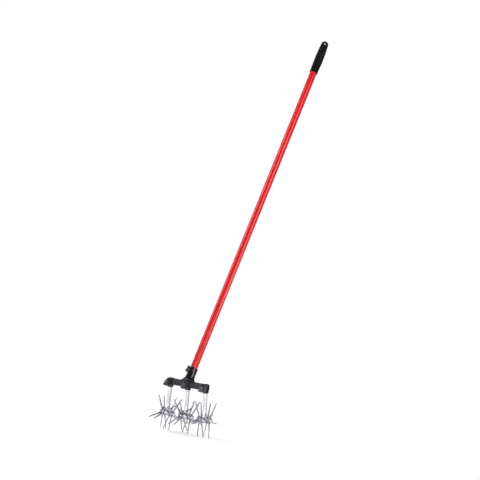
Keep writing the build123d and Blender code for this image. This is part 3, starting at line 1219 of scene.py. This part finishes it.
@dataclass
class LatchSprings(Assembly):
    """Torsion springs of the four levers, and the neck lever's pin."""

    wire: float = 0.4
    radius: float = 2.35
    pitch: float = 1.3
    facets: int = 12
    steps_per_turn: int = 36
    long_leg: float = 9.0
    leg_turns: float = 2.0
    leg_short: float = 4.0
    neck_turns: float = 2.25
    neck_short: float = 4.6
    follow_from: float = 2.5

    def follow(self, pivot: Matrix, way: Vector, lever: str) -> Bend:
        """Stretch beside a pivot over which a spring's leg, going one way, turns to follow its lever."""
        return Bend(lever, pivot.translation * MM, pivot @ (way * self.follow_from) * MM)

    def coil(self, turns: float, first: float, last: float) -> Mesh:
        """Wind a spring about X from below, with a straight leg at each end.

        Args:
            turns: Turns of the coil.
            first: Length of the leg that leaves forwards.
            last: Length of the leg that leaves along the last turn.

        Returns:
            The spring, centred on its pivot.
        """
        bm = bmesh.new()
        ring = bmesh.ops.create_circle(bm, cap_ends=False, segments=self.facets, radius=self.wire)["verts"]
        bmesh.ops.transform(bm, matrix=TO_Y, verts=ring)
        bmesh.ops.translate(bm, vec=(-self.pitch * turns / 2, 0, -self.radius), verts=ring)
        start = bm.edges[:]
        steps = round(turns * self.steps_per_turn)
        wound = bmesh.ops.spin(bm, geom=bm.verts[:] + start, cent=(0, 0, 0), axis=(1, 0, 0), steps=steps,
                               dvec=(self.pitch * turns / steps, 0, 0), angle=turns * FULL_TURN)
        end = [g for g in wound["geom_last"] if isinstance(g, bmesh.types.BMEdge)]
        away = Vector((self.pitch / FULL_TURN, self.radius, 0)).normalized()
        onward = Matrix.Rotation(turns * FULL_TURN, 3, "X") @ away
        for rim, leg in ((start, away * -first), (end, onward * last)):
            fresh, _ = draw_out(bm, rim)
            bmesh.ops.translate(bm, vec=leg, verts=fresh)
        bmesh.ops.holes_fill(bm, edges=bm.edges, sides=0)
        face_out(bm)
        return bm

    def build(self) -> None:
        """Build the springs and the neck lever's pin."""
        for side in Side:
            label, pivot = side.label, STANCE.lever(side)
            spring = self.coil(self.leg_turns, self.long_leg, self.leg_short)
            bend = self.follow(pivot, Vector((0, -1, 0)), f"lever_{label}")
            self.settle(spring, f"latch_spring_{label}", pivot, Slot.SPRING_STEEL, "frame",
                        f"lever_spring_{label}", bend=bend)
        over = STANCE.neck_lever() @ Matrix.Rotation(math.pi, 4, "X")
        spring = self.coil(self.neck_turns, self.neck_short, self.long_leg)
        bend = self.follow(over, Vector((0, 0, 1)), "neck_lever")
        self.settle(spring, "neck_latch_spring", over, Slot.SPRING_STEEL, "frame", "neck_spring", bend=bend)
        self.settle(PivotPin().mesh(), "neck_latch_pin", STANCE.neck_lever(), Slot.ZINC_HARDWARE, "frame",
                    "neck_pin")


@dataclass(frozen=True)
class Lamp:
    """A soft box: its way and distance from its aim, size in metres, power, and if gloss shows it."""

    name: str
    way: Triple
    distance: float
    size: Span
    power: float
    mirrored: bool = True

    def hang(self, aim: Vector) -> None:
        """Hang the lamp so that it faces its aim.

        Args:
            aim: Point that it lights.
        """
        data = bpy.data.lights.new(self.name, "AREA")
        data.shape = "RECTANGLE"
        data.size, data.size_y = self.size
        data.energy = self.power
        lamp = bpy.data.objects.new(self.name, data)
        way = Vector(self.way).normalized()
        lamp.location = aim + way * self.distance
        lamp.rotation_euler = (-way).to_track_quat("-Z", "Y").to_euler()
        lamp.visible_glossy = self.mirrored
        bpy.context.collection.objects.link(lamp)


@dataclass
class Studio:
    """Pale floor, soft boxes, the surroundings and the camera."""

    aim: Triple = (0.0, 0.250, 0.635)
    yaw: float = 34.4
    height_angle: float = 4.0
    roll: float = 4.54
    distance: float = 6.0
    focal_px: float = 1935.0
    frame_px: float = 480.0
    aim_px: Span = (248.0, 223.65)
    sensor: float = 36.0
    floor_half: float = 12.0
    floor_height: float = -0.0009
    floor_albedo: float = 0.8
    floor_glow: float = 0.35
    paper_edge: Span = (0.25, 0.9)
    fill: float = 0.3
    room_grey: float = 0.1
    wall_way: Triple = (-0.29, -0.957, 0.0)
    wall_edge: Span = (-0.38, -0.05)
    wall_top: Span = (0.22, 0.6)
    lamps: tuple[Lamp, ...] = (
        Lamp("right_soft_box", (0.92, 0.027, 0.39), 3.2, (1.8, 4.0), 80.0),
        Lamp("left_soft_box", (-0.78, -0.25, 0.57), 3.2, (2.4, 3.0), 70.0, mirrored=False),
        Lamp("left_strip", (-0.614, -0.3015, 0.729), 3.29, (1.1, 1.9), 27.0),
        Lamp("front_soft_box", (-0.56, -0.82, 0.05), 4.0, (1.4, 1.4), 12.0),
        Lamp("camera_soft_box", (0.557, -0.815, 0.16), 8.0, (2.6, 2.6), 110.0),
        Lamp("low_soft_box", (0.8865, 0.443, -0.1365), 2.82, (1.1, 0.5), 7.0),
    )

    def towards_camera(self) -> Vector:
        """Unit way from the aim to the camera."""
        yaw, up = math.radians(self.yaw), math.radians(self.height_angle)
        return Vector((math.sin(yaw) * math.cos(up), -math.cos(yaw) * math.cos(up), math.sin(up)))

    def camera(self) -> None:
        """Set the camera at the photograph's angle."""
        data = bpy.data.cameras.new("photo_camera")
        data.sensor_width = self.sensor
        data.lens = self.focal_px / self.frame_px * self.sensor
        middle = self.frame_px / 2
        data.shift_x = (middle - self.aim_px[0]) / self.frame_px
        data.shift_y = (self.aim_px[1] - middle) / self.frame_px
        camera = bpy.data.objects.new("photo_camera", data)
        way = self.towards_camera()
        turn = (-way).to_track_quat("-Z", "Y") @ Quaternion((0, 0, 1), math.radians(self.roll))
        camera.rotation_euler = turn.to_euler()
        camera.location = Vector(self.aim) + way * self.distance
        bpy.context.collection.objects.link(camera)
        bpy.context.scene.camera = camera

    def backdrop(self, shade: Shade, way: Value, share: Value | float = 1.0) -> Value:
        """Strength of the white surroundings for every kind of ray.

        Args:
            shade: Tree of the world or the floor.
            way: Way from the tool to the place that is seen.
            share: Share of the pale wall that is left at this height.

        Returns:
            White where it is seen straight or through glass, a pale wall in front and a dim room behind
            where metal and paint mirror it, and the fill for other rays.
        """
        rays = {kind: shade.node("ShaderNodeLightPath", output=f"Is {kind} Ray")
                for kind in ("Camera", "Transmission", "Glossy")}
        straight = rays["Camera"].most(rays["Transmission"])
        mirrored = rays["Glossy"]
        towards = shade.node("ShaderNodeVectorMath", {"operation": "DOT_PRODUCT"},
                             {0: way, 1: self.wall_way}, output="Value")
        wall = towards.step(*self.wall_edge) * share
        return (straight + mirrored * (wall * (1 - self.room_grey) + self.room_grey)
                + (1 - straight - mirrored) * self.fill)

    def floor(self) -> None:
        """Lay the pale floor: paper that keeps the shadow near the tool, plain white further off."""
        bm = bmesh.new()
        bmesh.ops.create_grid(bm, x_segments=2, y_segments=2, size=self.floor_half)
        floor = scratch_object(bm, "floor")
        floor.location = (0, 0, self.floor_height)
        material = bpy.data.materials.new("floor")
        material.use_nodes = True
        shade = Shade(material.node_tree)
        at = shade.node("ShaderNodeTexCoord", output="Object")
        way = shade.node("ShaderNodeVectorMath", {"operation": "NORMALIZE"}, {0: at})
        gap = shade.node("ShaderNodeVectorMath", {"operation": "LENGTH"}, {0: at}, output="Value")
        camera = shade.node("ShaderNodeLightPath", output="Is Camera Ray")
        paper = shade.node("ShaderNodeBsdfDiffuse", inputs={"Color": (self.floor_albedo,) * 3 + (1,)})
        glow = shade.node("ShaderNodeEmission", inputs={"Strength": camera * self.floor_glow})
        near = shade.node("ShaderNodeAddShader", inputs={0: paper, 1: glow})
        far = shade.node("ShaderNodeEmission", inputs={"Strength": self.backdrop(shade, way)})
        spread = gap.step(*self.paper_edge)
        shade.close(shade.node("ShaderNodeMixShader", inputs={0: spread, 1: near, 2: far}))
        floor.data.materials.append(material)

    def surroundings(self) -> None:
        """Set the world: white for the camera, wall and room for reflections, a plain fill for light."""
        world = bpy.data.worlds.new("studio")
        bpy.context.scene.world = world
        world.use_nodes = True
        shade = Shade(world.node_tree)
        way = shade.node("ShaderNodeTexCoord", output="Generated")
        height = shade.axis(way, "Z")
        strength = self.backdrop(shade, way, 1 - height.step(*self.wall_top))
        light = shade.node("ShaderNodeBackground", inputs={"Color": (1, 1, 1, 1), "Strength": strength})
        shade.close(light, "ShaderNodeOutputWorld")

    def build(self) -> None:
        """Set up the whole studio."""
        bpy.context.scene.view_settings.view_transform = "Standard"
        self.camera()
        self.floor()
        self.surroundings()
        for lamp in self.lamps:
            lamp.hang(Vector(self.aim))


WHEEL_TURNS: dict[Side, Span] = {
    Side.LEFT: (15.0, 60.0),
    Side.MIDDLE: (27.0, 60.0),
    Side.RIGHT: (9.0, 72.0),
}


def main() -> None:
    """Build every sub-assembly and log the triangles of each piece, then the studio."""
    logging.basicConfig(level=logging.INFO, format="%(name)s: %(message)s")
    assemblies: list[Assembly] = [HandleTube(), EndGrip(), SoftenedNodes(), LatchSprings()]
    for side in Side:
        assemblies.append(Leg(side=side))
        for wheel, turn in zip(Wheel, WHEEL_TURNS[side]):
            assemblies.append(SpikedWheel(side=side, wheel=wheel, turn=turn))
    for assembly in assemblies:
        assembly.build()
        for piece in assembly.pieces:
            piece.data.calc_loop_triangles()
            LOG.info("%s: %d triangles", piece.name, len(piece.data.loop_triangles))
    Studio().build()


if __name__ == "__main__":
    main()
